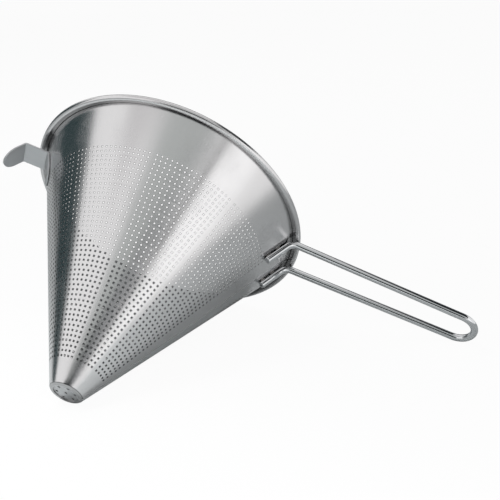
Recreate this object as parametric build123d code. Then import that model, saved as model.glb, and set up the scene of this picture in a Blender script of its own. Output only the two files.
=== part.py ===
from build123d import *
import math
import os

os.makedirs("parts", exist_ok=True)

# A conical kitchen strainer of stainless sheet, lying on its side as it rests on a table.
# All lengths are millimetres and all angles are degrees.

# Cone of perforated sheet
rim_outside = 200.0
cone_depth = 162.0
tip_outside = 21.2
sheet = 0.6
tip_corner_radius = 2.2
tip_opening = 16.6

# Rolled edge, a flat curl of the sheet with a hoop of wire in its outer side
rim_wire_size = 3.0
rim_curl_slack = 1.3
rim_curl_gap = 0.3

# Weld that closes the rolled sheet
seam_width = 1.2
seam_azimuth = 3.6

# Perforation: round holes in rings, in sectors beside the blank strip of the seam
hole_size = 2.6
hole_pitch = 12.0
ring_spacing = 12.0
tip_blank_band = 17.0
rim_blank_band = 32.3
hole_sectors = 8
sector_angle = 42.25
sector_gap_share = 0.5
first_hole_share = 0.75

# Disc that closes the narrow end
tip_disc_size = 18.4
tip_disc_thickness = 0.8
tip_hole_size = 1.7
tip_hole_circle = 12.4
tip_hole_count = 6
tip_hole_turn = 46.0

# Handle, one bent wire with both ends welded to the cone
handle_wire_size = 5.0
handle_length = 137.3
handle_spread = 28.8
handle_end_width = 24.0
handle_drop_angle = 4.45
handle_bend_radius = 8.0
handle_leg_depth = 26.3
handle_rim_clearance = 0.1
handle_wall_gap = 0.15
handle_end_round = 0.5

# Weld nuggets beside the two handle legs
handle_weld_count = 2
handle_weld_length = 5.0
handle_weld_width = 3.6
handle_weld_height = 1.5
handle_weld_inset = 1.2
handle_weld_spacing = 9.5
handle_weld_sink = 0.6
handle_weld_corner_share = 0.33

# Rest hook, one bent strap opposite the handle
hook_azimuth = 190.7
hook_width = 20.0
hook_strap = 1.2
hook_arm_depth = 8.7
hook_arm_reach = 17.0
hook_arm_drop_angle = 4.5
hook_lip_length = 18.0
hook_lip_drop_angle = 63.7
hook_foot_length = 20.0
hook_foot_angle = 90.0
hook_bend_radius = 1.4

# Spot welds that hold the foot of the hook
hook_weld_count = 2
hook_weld_size = 4.0
hook_weld_spacing = 8.0
hook_weld_inset = 10.0
hook_wall_gap = 0.1

# Extra length of every cutting body
overrun = 3.0

# Turns, and the steps in which the lying pose is closed in on
full_turn = 360.0
quarter_turn = 90.0
pose_steps = 60


def unit(angle):
    """Direction of an angle in a flat drawing."""
    return Vector(math.cos(math.radians(angle)), math.sin(math.radians(angle)))


def section_point(point):
    """A drawing point, radius and height, on the upright plane through the axis."""
    return Vector(point.X, 0, point.Y)


def corner_arc(before, corner, after, radius):
    """Start, middle and end of the arc that rounds one corner of a path."""
    back = (before - corner).normalized()
    ahead = (after - corner).normalized()
    half = math.acos(max(-1.0, min(1.0, back.dot(ahead)))) / 2
    reach = radius / math.tan(half)
    middle = (back + ahead).normalized()
    depth = radius / math.sin(half) - radius
    return corner + back * reach, corner + middle * depth, corner + ahead * reach


def solid_of(shape):
    """The one solid inside a cut or joined result."""
    return shape.solids().sort_by(SortBy.VOLUME)[-1]


# The rolled edge is a hoop of wire with the sheet bent round it
rim_bead_radius = rim_wire_size / 2 + sheet
rim_centre = Vector(rim_outside / 2 - rim_bead_radius, 0)

# The outside of the wall runs from the tip past the inner side of the rim wire
wire_side = rim_wire_size / 2
wall_gap_to_wire = wire_side + rim_curl_slack
tip_point = Vector(tip_outside / 2, -cone_depth)
rim_from_tip = rim_centre - tip_point
tip_to_rim = rim_from_tip.length
wall_angle = math.degrees(
    math.atan2(rim_from_tip.X, rim_from_tip.Y) - math.asin(wall_gap_to_wire / tip_to_rim)
)
sin_wall = math.sin(math.radians(wall_angle))
cos_wall = math.cos(math.radians(wall_angle))
up_wall = Vector(sin_wall, cos_wall)
off_wall = Vector(cos_wall, -sin_wall)
apex_height = -cone_depth - tip_point.X * cos_wall / sin_wall
wall_top_slant = (rim_centre - Vector(0, apex_height)).dot(up_wall)


def wall_radius(height):
    """Outside radius of the wall at a height."""
    return (height - apex_height) * sin_wall / cos_wall


# Section of the sheet, from the opening of the tip to the end of the curl
tip_start, tip_middle, tip_end = corner_arc(
    rim_centre - off_wall * wall_gap_to_wire, tip_point, Vector(0, -cone_depth), tip_corner_radius
)
tip_arc_centre = tip_start - off_wall * tip_corner_radius
tip_outward = (tip_point - tip_arc_centre).normalized()
rise = Vector(0, sheet)
tip_edge_outside = Vector(tip_opening / 2, -cone_depth)
tip_edge_inside = tip_edge_outside + rise
inner_start = tip_start - off_wall * sheet
inner_middle = tip_arc_centre + tip_outward * (tip_corner_radius - sheet)
inner_end = tip_end + rise

# The curl turns off the wall, runs over the wire and round it, and comes back below to the wall
turn_centre = rim_centre - off_wall * rim_curl_slack
turn_middle = (up_wall - off_wall).normalized()
curl_reach = wall_gap_to_wire - rim_curl_gap


def curl_face(offset):
    """Corner and middle points of one face of the curl, at a distance from its wire."""
    return [
        turn_centre - off_wall * offset,
        turn_centre + turn_middle * offset,
        turn_centre + up_wall * offset,
        rim_centre + up_wall * offset,
        rim_centre + off_wall * offset,
        rim_centre - up_wall * offset,
        rim_centre - up_wall * offset - off_wall * curl_reach,
    ]


curl_near = [section_point(spot) for spot in curl_face(wire_side)]
curl_far = [section_point(spot) for spot in reversed(curl_face(rim_bead_radius))]
sheet_edges = [
    Line(section_point(tip_edge_outside), section_point(tip_end)),
    ThreePointArc(section_point(tip_end), section_point(tip_middle), section_point(tip_start)),
    Line(section_point(tip_start), curl_near[0]),
    ThreePointArc(*curl_near[:3]),
    Line(curl_near[2], curl_near[3]),
    ThreePointArc(*curl_near[3:6]),
    Line(curl_near[5], curl_near[6]),
    Line(curl_near[6], curl_far[0]),
    Line(curl_far[0], curl_far[1]),
    ThreePointArc(*curl_far[1:4]),
    Line(curl_far[3], curl_far[4]),
    ThreePointArc(*curl_far[4:]),
    Line(curl_far[6], section_point(inner_start)),
    ThreePointArc(section_point(inner_start), section_point(inner_middle), section_point(inner_end)),
    Line(section_point(inner_end), section_point(tip_edge_inside)),
    Line(section_point(tip_edge_inside), section_point(tip_edge_outside)),
]
sheet_section = Face(Wire(sheet_edges))
whole_cone = Solid.revolve(sheet_section, full_turn, Axis.Z)

# The seam is a narrow slot from the tip to the rim, filled by the weld
seam_cut = Box(
    rim_outside / 2 + overrun,
    seam_width,
    cone_depth + rim_bead_radius + overrun * 2,
    align=(Align.MIN, Align.CENTER, Align.MIN),
)
seam_cut = Pos(0, 0, -cone_depth - overrun) * seam_cut
seam_cut = Rot(0, 0, seam_azimuth) * seam_cut
seam_weld = solid_of(whole_cone & seam_cut)
cone_body = solid_of(whole_cone - seam_cut)


def on_wall(slant, azimuth):
    """Point on the outside of the wall, at a distance from the apex along the wall."""
    radius = slant * sin_wall
    turn = unit(azimuth)
    return Vector(radius * turn.X, radius * turn.Y, apex_height + slant * cos_wall)


def wall_normal(azimuth):
    """Direction that points out of the wall."""
    turn = unit(azimuth)
    return Vector(turn.X * cos_wall, turn.Y * cos_wall, -sin_wall)


# Holes stand in rings, in eight sectors beside the blank strip of the seam
first_slant = tip_point.X / sin_wall + tip_blank_band
last_slant = wall_top_slant - rim_blank_band
ring_count = max(2, round((last_slant - first_slant) / ring_spacing) + 1)
ring_step = (last_slant - first_slant) / (ring_count - 1)
blank_angle = full_turn - hole_sectors * sector_angle
hole_cutters = []
for ring in range(ring_count):
    slant = first_slant + ring_step * ring
    sector_arc = slant * sin_wall * math.radians(sector_angle)
    per_sector = max(1, round(sector_arc / hole_pitch - sector_gap_share))
    turn_step = sector_angle / (per_sector + sector_gap_share)
    for sector in range(hole_sectors):
        sector_start = seam_azimuth + blank_angle / 2 + sector * sector_angle
        for place in range(per_sector):
            azimuth = sector_start + turn_step * (place + first_hole_share)
            seat = Plane(origin=on_wall(slant, azimuth), z_dir=wall_normal(azimuth))
            hole_cutters.append(seat * Cylinder(hole_size / 2, sheet * 2 + overrun))
cone_body = solid_of(cone_body - hole_cutters)

# Hoop of wire inside the rolled edge
rim_wire = Torus(rim_centre.X, rim_wire_size / 2)

# Disc that rests inside on the turned-in edge of the tip
tip_disc = Cylinder(tip_disc_size / 2, tip_disc_thickness, align=(Align.CENTER, Align.CENTER, Align.MIN))
tip_disc = Pos(0, 0, -cone_depth + sheet) * tip_disc
tip_holes = [Cylinder(tip_hole_size / 2, cone_depth * 2 + overrun)]
for place in range(tip_hole_count):
    turn = unit(tip_hole_turn + full_turn / tip_hole_count * place)
    spot = turn * (tip_hole_circle / 2)
    tip_holes.append(Pos(spot.X, spot.Y, -cone_depth) * Cylinder(tip_hole_size / 2, overrun * 2))
tip_disc = solid_of(tip_disc - tip_holes)

# Handle wire, seen from the side: a leg along the wall and a straight grip under the rim
wire_radius = handle_wire_size / 2
leg_side = handle_spread / 2
wall_offset = (wire_radius + handle_wall_gap) / cos_wall


def leg_point(height):
    """Centre of a handle leg at a height, beside the wall."""
    radius = wall_radius(height) + wall_offset
    return Vector(math.sqrt(radius ** 2 - leg_side ** 2), height)


leg_low = leg_point(-handle_leg_depth)
leg_high = leg_point(-rim_bead_radius)
leg_along = (leg_high - leg_low).normalized()
grip_along = unit(-handle_drop_angle)
grip_up = unit(quarter_turn - handle_drop_angle)
under_rim = Vector(math.sqrt(rim_centre.X ** 2 - leg_side ** 2), 0)
under_rim = under_rim - grip_up * (rim_bead_radius + wire_radius + handle_rim_clearance)
gap_to_grip = (under_rim - leg_low).dot(grip_up)
bend_point = leg_low + leg_along * (gap_to_grip / leg_along.dot(grip_up))

loop_radius = handle_end_width / 2
loop_centre_reach = handle_length - loop_radius
grip_slope = math.hypot(loop_centre_reach, leg_side)
taper = math.atan2(leg_side, loop_centre_reach) - math.asin(loop_radius / grip_slope)
grip_straight = math.sqrt(grip_slope ** 2 - loop_radius ** 2)


def on_grip(reach, side):
    """Point of the grip plane, at a reach from the bend and to one side."""
    spot = bend_point + grip_along * reach
    return Vector(spot.X, side, spot.Y)


def leg_path(side):
    """Corner points of one half of the handle wire, on the side given by a sign."""
    low = Vector(leg_low.X, side * leg_side, leg_low.Y)
    bend = on_grip(0, side * leg_side)
    reach = math.cos(taper) * grip_straight
    inward = math.sin(taper) * grip_straight
    return low, bend, on_grip(reach, side * (leg_side - inward))


right_low, right_bend, right_loop = leg_path(1)
left_low, left_bend, left_loop = leg_path(-1)
right_arc = corner_arc(right_low, right_bend, right_loop, handle_bend_radius)
left_arc = corner_arc(left_low, left_bend, left_loop, handle_bend_radius)
loop_end = on_grip(handle_length, 0)
handle_path = Wire(
    [
        Line(right_low, right_arc[0]),
        ThreePointArc(right_arc[0], right_arc[1], right_arc[2]),
        Line(right_arc[2], right_loop),
        ThreePointArc(right_loop, loop_end, left_loop),
        Line(left_loop, left_arc[2]),
        ThreePointArc(left_arc[2], left_arc[1], left_arc[0]),
        Line(left_arc[0], left_low),
    ]
)
wire_section = Plane(origin=right_low, z_dir=right_bend - right_low) * Circle(wire_radius)
handle_loop = solid_of(sweep(wire_section, path=handle_path))
wire_ends = handle_loop.faces().filter_by(GeomType.PLANE)
handle_loop = handle_loop.fillet(handle_end_round, wire_ends.edges())

# Weld nuggets fill the wedges between each leg and the wall
wall_body = Solid.revolve(
    Face(
        Wire.make_polygon(
            [
                Vector(0, 0, apex_height),
                Vector(wall_radius(0), 0, 0),
                Vector(0, 0, 0),
            ],
            close=True,
        )
    ),
    full_turn,
    Axis.Z,
)
handle_welds = []
for low, bend in ((right_low, right_bend), (left_low, left_bend)):
    along = (bend - low).normalized()
    for place in range(handle_weld_count):
        centre = low + along * (handle_weld_inset + handle_weld_length / 2 + handle_weld_spacing * place)
        azimuth = math.degrees(math.atan2(centre.Y, centre.X))
        outward = wall_normal(azimuth)
        seat = Plane(origin=centre - outward * wire_radius, x_dir=along, z_dir=outward)
        block = Box(
            handle_weld_length,
            handle_weld_width,
            handle_weld_height + handle_weld_sink,
            align=(Align.CENTER, Align.CENTER, Align.MIN),
        )
        block = fillet(block.edges().filter_by(Axis.Z), handle_weld_width * handle_weld_corner_share)
        block = seat * Pos(0, 0, -handle_weld_sink) * block
        handle_welds.append(solid_of(block - handle_loop - wall_body))

# Hook strap, drawn from the side with radius across and height up
hook_arm_start = Vector(wall_radius(-hook_arm_depth) + hook_wall_gap / cos_wall, -hook_arm_depth)
arm_along = unit(-hook_arm_drop_angle)
arm_under = unit(-quarter_turn - hook_arm_drop_angle)
lip_along = unit(-hook_lip_drop_angle)
lip_under = unit(-quarter_turn - hook_lip_drop_angle)
hook_bend = hook_arm_start + arm_along * hook_arm_reach
hook_tip = hook_bend + lip_along * hook_lip_length
half_bend = math.radians((hook_lip_drop_angle - hook_arm_drop_angle) / 2)
inner_bend = hook_bend + (arm_under + lip_under).normalized() * (hook_strap / math.cos(half_bend))
arm_root = hook_arm_start - arm_along * (hook_width / 2)
outer_round = corner_arc(arm_root, hook_bend, hook_tip, hook_bend_radius + hook_strap)
inner_round = corner_arc(
    arm_root + arm_under * hook_strap, inner_bend, hook_tip + lip_under * hook_strap, hook_bend_radius
)
arm_edges = [
    Line(section_point(arm_root), section_point(outer_round[0])),
    ThreePointArc(*[section_point(spot) for spot in outer_round]),
    Line(section_point(outer_round[2]), section_point(hook_tip)),
    Line(section_point(hook_tip), section_point(hook_tip + lip_under * hook_strap)),
    Line(section_point(hook_tip + lip_under * hook_strap), section_point(inner_round[2])),
    ThreePointArc(*[section_point(spot) for spot in reversed(inner_round)]),
    Line(section_point(inner_round[0]), section_point(arm_root + arm_under * hook_strap)),
    Line(section_point(arm_root + arm_under * hook_strap), section_point(arm_root)),
]
arm_section = Face(Wire(arm_edges))
hook_arm = extrude(arm_section, amount=hook_width / 2, dir=(0, 1, 0), both=True)


def round_end(origin, along, out, length):
    """A thick plate with one round end, as wide as the strap, that trims a strap end."""
    seat = Plane(origin=section_point(origin), x_dir=section_point(along), z_dir=section_point(out))
    reach = length - hook_width / 2
    plate = Pos(reach / 2 - hook_width / 2, 0, 0) * Rectangle(reach + hook_width, hook_width)
    plate = plate + Pos(reach, 0, 0) * Circle(hook_width / 2)
    return seat * extrude(plate, amount=hook_width, both=True)


lip_trim = round_end(hook_bend, lip_along, lip_under, hook_lip_length)
lip_cut = Plane(
    origin=section_point(hook_bend), x_dir=section_point(lip_along), z_dir=section_point(lip_under)
) * Box(hook_lip_length, hook_width * 2, hook_width * 2, align=(Align.MIN, Align.CENTER, Align.CENTER))
hook_lip = (hook_arm & lip_cut) & lip_trim
hook_arm = (hook_arm - lip_cut) + hook_lip

# The foot follows the round of the wall and ends in a half circle
foot_top = hook_arm_start
foot_face = Wire.make_polygon(
    [
        section_point(foot_top),
        section_point(foot_top + off_wall * hook_strap),
        section_point(foot_top + off_wall * hook_strap - up_wall * hook_foot_length),
        section_point(foot_top - up_wall * hook_foot_length),
    ],
    close=True,
)
foot_ring = Solid.revolve(Face(foot_face), hook_foot_angle, Axis.Z)
foot_ring = Rot(0, 0, -hook_foot_angle / 2) * foot_ring
foot_trim = round_end(foot_top, Vector(0, 0) - up_wall, off_wall, hook_foot_length)
hook_foot = foot_ring & foot_trim
gap_body = Pos(0, 0, -hook_wall_gap / sin_wall) * wall_body
hook_blank = (hook_arm - gap_body) + hook_foot
hook_strap_body = solid_of(hook_blank)

# Two spot welds fill round holes of the foot, one above the other
weld_cutters = []
weld_plugs = []
for place in range(hook_weld_count):
    slide = hook_weld_inset + hook_weld_spacing * (place - (hook_weld_count - 1) / 2)
    spot = foot_top - up_wall * slide
    seat = Plane(origin=section_point(spot), z_dir=section_point(off_wall))
    plug = seat * Cylinder(hook_weld_size / 2, hook_strap * 2 + overrun)
    weld_cutters.append(plug)
    weld_plugs.append(seat * Cylinder(hook_weld_size / 2, hook_strap * 2))
foot_skin = Solid.revolve(
    Face(
        Wire.make_polygon(
            [
                section_point(foot_top - off_wall * hook_wall_gap),
                section_point(foot_top + off_wall * hook_strap),
                section_point(foot_top + off_wall * hook_strap - up_wall * hook_foot_length),
                section_point(foot_top - off_wall * hook_wall_gap - up_wall * hook_foot_length),
            ],
            close=True,
        )
    ),
    hook_foot_angle,
    Axis.Z,
)
foot_skin = Rot(0, 0, -hook_foot_angle / 2) * foot_skin
hook_welds = [solid_of(foot_skin & plug) for plug in weld_plugs]
hook_strap_body = solid_of(hook_strap_body - weld_cutters)
hook_turn = Rot(0, 0, hook_azimuth)
hook_strap_body = hook_turn * hook_strap_body
hook_welds = [hook_turn * weld for weld in hook_welds]

# The strainer lies on the edge of its tip, on its rim and on the end of the handle
tip_ring = tip_arc_centre.X
tip_ring_height = tip_arc_centre.Y
ring_gap = Vector(rim_centre.X - tip_ring, rim_centre.Y - tip_ring_height)
lie_angle = math.degrees(
    math.acos((tip_corner_radius - rim_bead_radius) / ring_gap.length)
    - math.atan2(ring_gap.Y, ring_gap.X)
)
rest_depth = rim_centre.X * math.cos(math.radians(lie_angle)) + rim_bead_radius


def down_at(azimuth):
    """Downward direction when the wall line at an azimuth lies on the table."""
    turn = unit(azimuth)
    flat = math.cos(math.radians(lie_angle))
    return Vector(turn.X * flat, turn.Y * flat, -math.sin(math.radians(lie_angle)))


def handle_depth(azimuth):
    """How far the end of the handle reaches down, measured from the rim centre."""
    down = down_at(azimuth)
    ahead = Vector(grip_along.X, 0, grip_along.Y)
    in_plane = math.hypot(down.dot(ahead), down.Y)
    return down.dot(on_grip(loop_centre_reach, 0)) + loop_radius * in_plane + wire_radius


low_azimuth = 0.0
high_azimuth = quarter_turn
for step in range(pose_steps):
    rest_azimuth = (low_azimuth + high_azimuth) / 2
    if handle_depth(rest_azimuth) > rest_depth:
        low_azimuth = rest_azimuth
    else:
        high_azimuth = rest_azimuth

down = down_at(rest_azimuth)
level_x = Vector(1, 0, 0) - down * down.X
table = Plane(origin=down * rest_depth, x_dir=level_x, z_dir=down * -1)

pieces = {
    "cone_body": [cone_body],
    "rim_wire": [rim_wire],
    "seam_weld": [seam_weld],
    "tip_disc": [tip_disc],
    "handle_loop": [handle_loop],
    "handle_welds": handle_welds,
    "hook_strap": [hook_strap_body],
    "hook_welds": hook_welds,
}
lying = {}
for name, bodies in pieces.items():
    lying[name] = [solid_of(table.to_local_coords(body)) for body in bodies]
whole_box = Compound([body for bodies in lying.values() for body in bodies]).bounding_box()
centring = Pos(-whole_box.center().X, -whole_box.center().Y, -whole_box.min.Z)
for name, bodies in lying.items():
    placed = [centring * body for body in bodies]
    shape = placed[0] if len(placed) == 1 else Compound(children=placed)
    shape.label = name
    export_step(shape, "parts/" + name + ".step")
    size = shape.bounding_box().size
    print(name, len(placed), round(sum(body.volume for body in placed), 2), [round(v, 2) for v in size])
print("holes", len(hole_cutters), "whole", whole_box.size, "lowest", whole_box.min.Z)
print("rest azimuth", rest_azimuth, "wall angle", wall_angle)
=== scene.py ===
import logging
import math
from collections.abc import Iterator
from dataclasses import dataclass, field
from enum import Enum

import bmesh
import bpy
import numpy as np
from mathutils import Matrix, Vector


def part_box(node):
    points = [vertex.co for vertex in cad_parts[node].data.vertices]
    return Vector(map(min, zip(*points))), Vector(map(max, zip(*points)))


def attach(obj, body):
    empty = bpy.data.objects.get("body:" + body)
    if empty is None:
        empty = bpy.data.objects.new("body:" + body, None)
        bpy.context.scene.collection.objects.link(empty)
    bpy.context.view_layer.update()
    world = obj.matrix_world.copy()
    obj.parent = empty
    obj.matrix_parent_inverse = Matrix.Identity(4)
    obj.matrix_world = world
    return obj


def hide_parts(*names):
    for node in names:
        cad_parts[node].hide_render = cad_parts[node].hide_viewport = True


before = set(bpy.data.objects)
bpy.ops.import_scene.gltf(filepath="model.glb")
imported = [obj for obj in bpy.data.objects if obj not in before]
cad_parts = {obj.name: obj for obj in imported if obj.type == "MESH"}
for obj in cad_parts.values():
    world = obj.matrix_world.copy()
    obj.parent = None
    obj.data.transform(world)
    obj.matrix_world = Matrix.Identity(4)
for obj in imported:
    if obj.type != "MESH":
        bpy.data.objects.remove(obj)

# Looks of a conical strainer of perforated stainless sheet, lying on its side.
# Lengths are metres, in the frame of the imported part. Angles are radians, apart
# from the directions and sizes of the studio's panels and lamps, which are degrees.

logging.basicConfig(level=logging.INFO, format="%(message)s")
log = logging.getLogger("strainer")
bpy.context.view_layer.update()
MM = 0.001

Pair = tuple[float, float]
Triple = tuple[float, float, float]
Socket = bpy.types.NodeSocket
Tree = bpy.types.NodeTree
Material = bpy.types.Material
Object = bpy.types.Object
Array = np.ndarray
Shape = tuple[Array, list, Array, Array]
AIM = Vector((0, 0, 0.08))
SCUFFS_PER_SMUDGE = 9.0


class Brushing(Enum):
    """How the lines of a finish lie in the grain coordinates."""

    ALONG = (1.0, 0.02)
    AROUND = (0.02, 1.0)
    CLOUDY = (0.6, 0.6)


def flat_unit(angle: float) -> Array:
    """Return the direction of an angle in a flat drawing."""
    return np.array([math.cos(angle), math.sin(angle)])


def unit(vector: Array) -> Array:
    """Return a vector of length 1 in the same direction."""
    return vector / np.linalg.norm(vector)


def unit_rows(rows: Array) -> Array:
    """Return rows of length 1 in the same directions."""
    return rows / np.linalg.norm(rows, axis=1)[:, None]


def run_along(line: Array) -> Array:
    """Return how far along a line each of its points lies."""
    return np.concatenate([[0.0], np.cumsum(np.linalg.norm(np.diff(line, axis=0), axis=1))])


def ring_faces(low: int, high: int, count: int) -> list[tuple]:
    """Join two rings of points, given the number of the first point of each."""
    return [(low + i, low + (i + 1) % count, high + (i + 1) % count, high + i) for i in range(count)]


def open_edges(faces: list) -> list[tuple[int, int]]:
    """List the edges that only one face has, in the order of the faces."""
    seen = {pair: True for face in faces for pair in zip(face, face[1:] + face[:1])}
    return [(a, b) for a, b in seen if (b, a) not in seen]


def two_sided(faces: list, count: int, rim: list) -> list:
    """Close a sheet: its faces, the same ones on the other side, and a wall along its rim."""
    back = [tuple(v + count for v in reversed(face)) for face in faces]
    return list(faces) + back + [(b, a, a + count, b + count) for a, b in rim]


def direction(azimuth: float, height: float) -> Vector:
    """Return the direction of an azimuth and an angle above the floor, in degrees."""
    turn, up = math.radians(azimuth), math.radians(height)
    return Vector((math.cos(turn) * math.cos(up), math.sin(turn) * math.cos(up), math.sin(up)))


def round_corner(before: Array, corner: Array, after: Array, radius: float, steps: int) -> Array:
    """Round one corner of a path with an arc.

    Args:
        before: A point on the run that reaches the corner.
        corner: The sharp corner.
        after: A point on the run that leaves the corner.
        radius: Radius of the arc.
        steps: Number of pieces in the arc.

    Returns:
        The points of the arc, one row each.
    """
    back, ahead = unit(before - corner), unit(after - corner)
    half = math.acos(float(np.clip(back @ ahead, -1.0, 1.0))) / 2
    middle = unit(back + ahead)
    centre = corner + middle * (radius / math.sin(half))
    start = corner + back * (radius / math.tan(half)) - centre
    across = -middle - start * (float(-middle @ start) / radius**2)
    across = unit(across) * radius
    turns = np.linspace(0.0, math.pi - 2 * half, steps + 1)
    return np.array([centre + start * math.cos(t) + across * math.sin(t) for t in turns])


@dataclass(frozen=True)
class StrainerSizes:
    """Sizes that more than one piece needs, as the solids have them."""

    rim_outside: float = 200.0 * MM
    cone_depth: float = 162.0 * MM
    tip_outside: float = 21.2 * MM
    sheet: float = 0.6 * MM
    tip_corner: float = 2.2 * MM
    tip_opening: float = 16.6 * MM
    rim_wire: float = 3.0 * MM
    curl_slack: float = 1.3 * MM
    curl_gap: float = 0.3 * MM
    seam_width: float = 1.2 * MM
    seam_azimuth: float = math.radians(3.6)
    handle_wire: float = 5.0 * MM
    handle_length: float = 137.3 * MM
    handle_spread: float = 28.8 * MM
    handle_end_width: float = 24.0 * MM
    handle_drop: float = math.radians(4.45)
    handle_bend: float = 8.0 * MM
    handle_leg: float = 26.3 * MM
    handle_gap: float = 0.15 * MM
    handle_rim_gap: float = 0.1 * MM

    @property
    def bead(self) -> float:
        """Radius of the rolled edge."""
        return self.rim_wire / 2 + self.sheet

    @property
    def rim_radius(self) -> float:
        """Radius of the circle on which the rim wire lies."""
        return self.rim_outside / 2 - self.bead

    @property
    def wall_gap(self) -> float:
        """Distance between the centre of the rim wire and the line of the wall."""
        return self.rim_wire / 2 + self.curl_slack

    @property
    def wall_angle(self) -> float:
        """Angle between the wall and the axis."""
        across, depth = self.rim_radius - self.tip_outside / 2, self.cone_depth
        return math.atan2(across, depth) - math.asin(self.wall_gap / math.hypot(across, depth))

    @property
    def up_wall(self) -> Array:
        """Direction along the wall towards the mouth, as radius and height."""
        return np.array([math.sin(self.wall_angle), math.cos(self.wall_angle)])

    @property
    def off_wall(self) -> Array:
        """Direction out of the wall, as radius and height."""
        return np.array([math.cos(self.wall_angle), -math.sin(self.wall_angle)])

    @property
    def apex_height(self) -> float:
        """Height of the point in which the outside of the wall would end."""
        return -self.cone_depth - self.tip_outside / 2 / math.tan(self.wall_angle)

    def wall_radius(self, height: float) -> float:
        """Return the outside radius of the wall at a height."""
        return (height - self.apex_height) * math.tan(self.wall_angle)


@dataclass
class HandleLine:
    """Centre line of the handle wire."""

    sizes: StrainerSizes
    bend_steps: int = 12
    leg_steps: int = 12
    grip_steps: int = 40

    def __post_init__(self) -> None:
        """Work out the bend points of the wire."""
        sizes = self.sizes
        self.side = sizes.handle_spread / 2
        self.wire = sizes.handle_wire / 2
        self.leg_gap = (self.wire + sizes.handle_gap) / math.cos(sizes.wall_angle)
        low = self._leg(-sizes.handle_leg)
        self.leg_along = unit(self._leg(-sizes.bead) - low)
        self.grip = flat_unit(-sizes.handle_drop)
        grip_up = flat_unit(math.pi / 2 - sizes.handle_drop)
        under = np.array([math.sqrt(sizes.rim_radius**2 - self.side**2), 0.0])
        under = under - grip_up * (sizes.bead + self.wire + sizes.handle_rim_gap)
        self.low = low
        self.bend = low + self.leg_along * ((under - low) @ grip_up) / (self.leg_along @ grip_up)
        self.loop = sizes.handle_end_width / 2
        self.loop_reach = sizes.handle_length - self.loop
        slope = math.hypot(self.loop_reach, self.side)
        self.taper = math.atan2(self.side, self.loop_reach) - math.asin(self.loop / slope)
        self.straight = math.sqrt(slope**2 - self.loop**2)

    def _leg(self, height: float) -> Array:
        """Return the centre of a leg at a height, as distance and height."""
        radius = self.sizes.wall_radius(height) + self.leg_gap
        return np.array([math.sqrt(radius**2 - self.side**2), height])

    def on_grip(self, reach: float, side: float) -> Array:
        """Return a point of the grip's plane, at a reach from the bend."""
        spot = self.bend + self.grip * reach
        return np.array([spot[0], side, spot[1]])

    def points(self) -> Array:
        """Return the points of the whole centre line, one row each.

        Returns:
            Their places in the strainer's own axes.
        """
        half = []
        for side in (1.0, -1.0):
            low = np.array([self.low[0], side * self.side, self.low[1]])
            bend = self.on_grip(0.0, side * self.side)
            reach, inward = math.cos(self.taper) * self.straight, math.sin(self.taper) * self.straight
            meet = self.on_grip(reach, side * (self.side - inward))
            arc = round_corner(low, bend, meet, self.sizes.handle_bend, self.bend_steps)
            leg = low + (arc[0] - low) * np.linspace(0, 1, self.leg_steps + 1)[:-1, None]
            run = arc[-1] + (meet - arc[-1]) * np.linspace(0, 1, self.grip_steps + 1)[1:-1, None]
            half.append(np.vstack([leg, arc, run]))
        start = math.pi / 2 - self.taper
        turns = np.linspace(start, -start, self.grip_steps + 1)
        r = self.loop
        loop = [self.on_grip(self.loop_reach + r * math.cos(t), r * math.sin(t)) for t in turns]
        return np.vstack([half[0], loop, half[1][::-1]])


@dataclass
class RestPose:
    """Where the strainer comes to rest, on its tip, its rim and its handle."""

    sizes: StrainerSizes
    handle: HandleLine
    rim_box: tuple
    halvings: int = 60

    def __post_init__(self) -> None:
        """Find the pose from the sizes and the place of the rim wire."""
        sizes = self.sizes
        half = (math.pi / 2 + sizes.wall_angle) / 2
        tip = np.array([sizes.tip_outside / 2, -sizes.cone_depth])
        along_wall = sizes.up_wall * (sizes.tip_corner / math.tan(half))
        self.tip_arc = tip + along_wall - sizes.off_wall * sizes.tip_corner
        across, up = sizes.rim_radius - self.tip_arc[0], -self.tip_arc[1]
        meeting = math.acos((sizes.tip_corner - sizes.bead) / math.hypot(across, up))
        self.lean = meeting - math.atan2(up, across)
        self.depth = sizes.rim_radius * math.cos(self.lean) + sizes.bead
        low, high = 0.0, math.pi / 2
        for _ in range(self.halvings):
            azimuth = (low + high) / 2
            if self._handle_depth(azimuth) > self.depth:
                low = azimuth
            else:
                high = azimuth
        down = self._down(azimuth)
        across_x = unit(np.array([1.0, 0.0, 0.0]) - down * down[0])
        self.rows = np.stack([across_x, np.cross(-down, across_x), -down])
        centre = (np.array(self.rim_box[0]) + np.array(self.rim_box[1])) / 2
        self.shift = np.array([centre[0], centre[1], self.depth])

    def _down(self, azimuth: float) -> Array:
        """Return the downward direction when a wall line lies on the table."""
        flat = math.cos(self.lean)
        return np.array([math.cos(azimuth) * flat, math.sin(azimuth) * flat, -math.sin(self.lean)])

    def _handle_depth(self, azimuth: float) -> float:
        """Return how far the end of the handle reaches down.

        Args:
            azimuth: Azimuth of the wall line on the table.

        Returns:
            The depth of its lowest point below the centre of the rim.
        """
        handle, down = self.handle, self._down(azimuth)
        ahead = np.array([handle.grip[0], 0.0, handle.grip[1]])
        in_plane = math.hypot(down @ ahead, down[1])
        return float(down @ handle.on_grip(handle.loop_reach, 0.0)) + handle.loop * in_plane + handle.wire

    def place(self, points: Array) -> Array:
        """Move points from the strainer's own axes into the frame."""
        return np.asarray(points) @ self.rows.T + self.shift


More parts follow.
